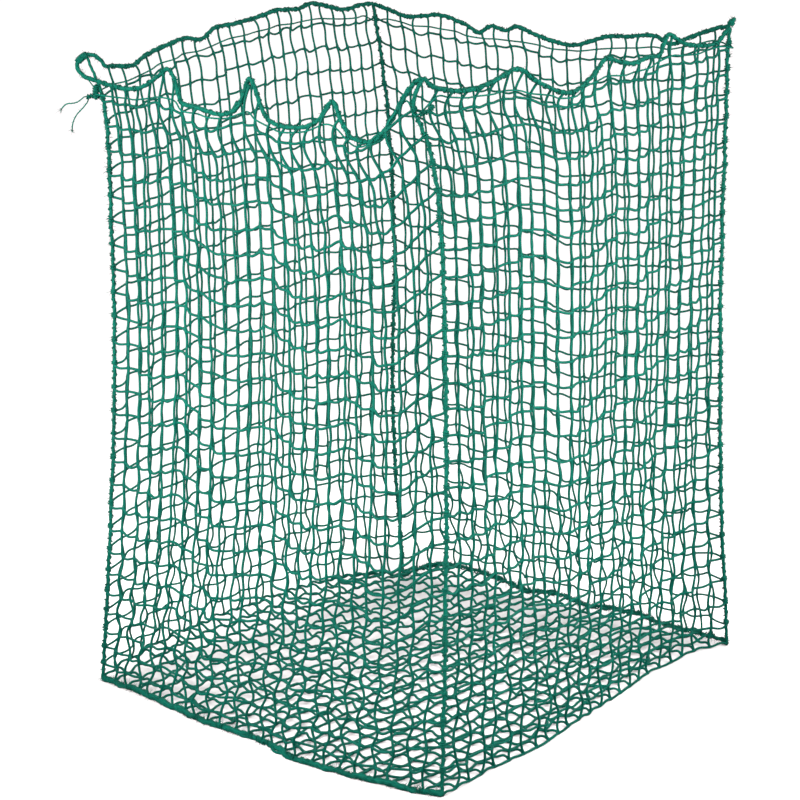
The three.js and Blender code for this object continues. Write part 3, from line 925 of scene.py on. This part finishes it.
def knot_piece():
    """The draw cord's ends, wound round the top of the corner seam and tied off at the side."""
    wound = [(-518, -548, 1488), (-520, -551, 1476), (-520, -551, 1464), (-519, -550, 1452)]
    tied = [(-521, -552, 1462), (-529, -558, 1461), (-537, -565, 1459)]
    parts = lashing(wound, 0.011, turns=6, thick=0.0046) + lashing(tied, 0.008, turns=3, thick=0.0040)
    strings = [[(-535, -560, 1500), (-528, -556, 1489), (-522, -552, 1479)]]
    strings += [[(-524, -554, 1463), (-530, -560, 1461), TAILS[name][0]] for name in TAILS]
    for string in strings:
        line = spline(metres(string), 8)
        parts.append(sweep(line[None], np.full((1, len(line)), TAIL_CORD / 2), sides=8))
    obj = piece("draw_cord_knot_visual", parts, LACE_GREEN, "rim")
    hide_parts("draw_cord_knot")
    follow_rim(obj)


def hitch_piece():
    """From the top of the front right seam to the draw cord, ending in a small knot."""
    small_knot = [(515, -603, 1544), (518, -600, 1549), (520, -598, 1555)]
    parts = lashing(HITCH, HITCH_CORD, turns=4, thick=0.0030)
    parts += lashing(small_knot, 0.009, turns=2.5, thick=0.0036)
    obj = piece("corner_hitch_visual", parts, LACE_GREEN, "rim")
    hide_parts("corner_hitch")
    follow_rim(obj)


def loop_piece(corner):
    """A bight of the rim rope, and the whipping round it. The front left loop starts and ends in the rim."""
    line = spline(metres(LOOPS[corner]), 12)
    if corner == "front_left":
        line = spline([rims["left"][-RIM_STEPS - 2], *metres(LOOPS[corner]), rims["front"][4]], 12)
    parts = [rope_sweep(line, RIM_ROPE * 0.9, rough=0.06), fuzz_on(line, RIM_ROPE / 2, per_metre=700, tuft=2)]
    if corner == "front_left":
        parts.append(rope_sweep(spline(metres(LOOP_STRAND), 10), STRAND, lay=0.014, sides=12))
    loop = piece(f"hanging_loop_{corner}_visual", parts, RIM_GREEN, f"{corner}_loop")
    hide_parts(f"hanging_loop_{corner}")
    follow_rim(loop)
    length = travelled(line)[-1]
    start, finish = (share * length for share in WHIPPED[corner])
    turns = int((finish - start) / LACING)
    served = evenly(line, 400)
    served = served[(travelled(served) >= start) & (travelled(served) <= finish)]
    middle = travelled(served)[-1] / 2
    parts = [
        wraps(served, [middle], RIM_ROPE / 2, turns, width=middle * 1.9, thick=LACING * 1.25),
        fuzz_on(served, RIM_ROPE / 2 + 0.002, per_metre=900, length=0.005),
    ]
    whip = piece(f"loop_whipping_{corner}_visual", parts, LACE_GREEN, f"{corner}_loop")
    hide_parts(f"loop_whipping_{corner}")
    follow_rim(whip)


rim_piece()
wall_knots = {wall: uneven(hang_wall(wall), wall) for wall in WALLS}
for wall, knots in wall_knots.items():
    wall_piece(wall, knots)
base_piece()
for corner in CORNERS:
    seam_piece(corner)
for wall in ("front", "back"):
    base_seam_piece(wall)
draw_cord_piece(wall_knots)
knot_piece()
hitch_piece()
for corner in LOOPS:
    loop_piece(corner)


# ---------- floor and light ----------
FLOOR_SIZE = 60         # metres from the middle to a side: the floor fills the picture
FLOOR_COLOUR = (0.53, 0.505, 0.508, 1)
GLOW_COLOUR = (1.0, 0.955, 0.965, 1)
# emission strength by distance from the middle; none inside the net's footprint, which is painted shade under
# the net
GLOW_AND_PAINTED_SHADE = {"From Min": 0.56, "From Max": 0.76, "To Min": 0.0, "To Max": 0.5}   # distance out, and strength


def add_floor():
    """A pale floor with soft shadows where the net touches it. It glows white outside the net, by its
    distance from the middle, measured square like the base; its emission fades to nothing over the net's
    footprint: painted shade under the net."""
    x = FLOOR_SIZE
    mesh = bpy.data.meshes.new("floor")
    mesh.from_pydata([(-x, -x, 0), (x, -x, 0), (x, x, 0), (-x, x, 0)], [], [(0, 1, 2, 3)])
    mat = bpy.data.materials.new("floor")
    mat.use_nodes = True
    shader = mat.node_tree.nodes["Principled BSDF"]
    shader.inputs["Base Color"].default_value = FLOOR_COLOUR
    shader.inputs["Roughness"].default_value = 1.0
    shader.inputs["Specular IOR Level"].default_value = 0.0
    shader.inputs["Emission Color"].default_value = GLOW_COLOUR
    nodes, links = mat.node_tree.nodes, mat.node_tree.links
    spot = nodes.new("ShaderNodeTexCoord")
    sides = nodes.new("ShaderNodeVectorMath")
    sides.operation = "ABSOLUTE"
    split = nodes.new("ShaderNodeSeparateXYZ")
    distance = nodes.new("ShaderNodeMath")
    distance.operation = "MAXIMUM"
    links.new(spot.outputs["Object"], sides.inputs[0])
    links.new(sides.outputs[0], split.inputs[0])
    links.new(split.outputs["X"], distance.inputs[0])
    links.new(split.outputs["Y"], distance.inputs[1])
    # painted shade: no emission over the net's footprint, so the floor under the net is darker
    glow_and_painted_shade = nodes.new("ShaderNodeMapRange")
    for name, value in GLOW_AND_PAINTED_SHADE.items():
        glow_and_painted_shade.inputs[name].default_value = value
    links.new(distance.outputs[0], glow_and_painted_shade.inputs["Value"])
    links.new(glow_and_painted_shade.outputs[0], shader.inputs["Emission Strength"])
    mesh.materials.append(mat)
    obj = bpy.data.objects.new("floor", mesh)
    obj.location.z = -0.0005
    bpy.context.scene.collection.objects.link(obj)
    obj.visible_diffuse = False
    obj.visible_glossy = False


WORLD_LIGHT = 0.17
SUN_PLACE, SUN_POWER = (-0.7, 0.9, 5.0), 3.0        # only its direction to the origin counts
SUN_ANGLE = math.radians(60)
BOX_POWER = {"front": 56, "right": 56, "back": 9, "left": 9}
BOX_AWAY, BOX_HEIGHT = 1.75, 1.25       # metres from the middle of the net, and up
BOX_AIM = (0, 0, 0.75)
BOX_SIZE = 1.7
BOX_SPREAD = math.radians(100)


def add_light(name, kind, place, target, power, size):
    """A square soft box, whose size is its width, or a sun, whose size is the angle it fills in the sky."""
    data = bpy.data.lights.new(name, kind)
    data.energy = power
    if kind == "AREA":
        data.shape = "SQUARE"
        data.size = size
        data.spread = BOX_SPREAD
    else:
        data.angle = size
    obj = bpy.data.objects.new(name, data)
    obj.location = place
    aim = np.array(target, float) - place
    yaw = math.atan2(aim[1], aim[0]) - math.pi / 2
    pitch = math.atan2(math.hypot(aim[0], aim[1]), -aim[2])
    obj.rotation_euler = (pitch, 0, yaw)
    obj.visible_camera = False
    bpy.context.scene.collection.objects.link(obj)


def add_studio():
    """An even sky, a high soft sun, and a soft box in front of each wall, so near walls are the brightest."""
    world = bpy.data.worlds.new("studio")
    bpy.context.scene.world = world
    world.use_nodes = True
    sky = world.node_tree.nodes["Background"]
    sky.inputs["Color"].default_value = (1, 1, 1, 1)
    sky.inputs["Strength"].default_value = WORLD_LIGHT
    add_light("sun", "SUN", SUN_PLACE, (0, 0, 0), SUN_POWER, SUN_ANGLE)
    for wall, power in BOX_POWER.items():
        place = outward(wall) * BOX_AWAY + UP * BOX_HEIGHT
        add_light(f"box_{wall}", "AREA", tuple(place), BOX_AIM, power, BOX_SIZE)


add_floor()
add_studio()
bpy.context.scene.view_settings.view_transform = "Standard"
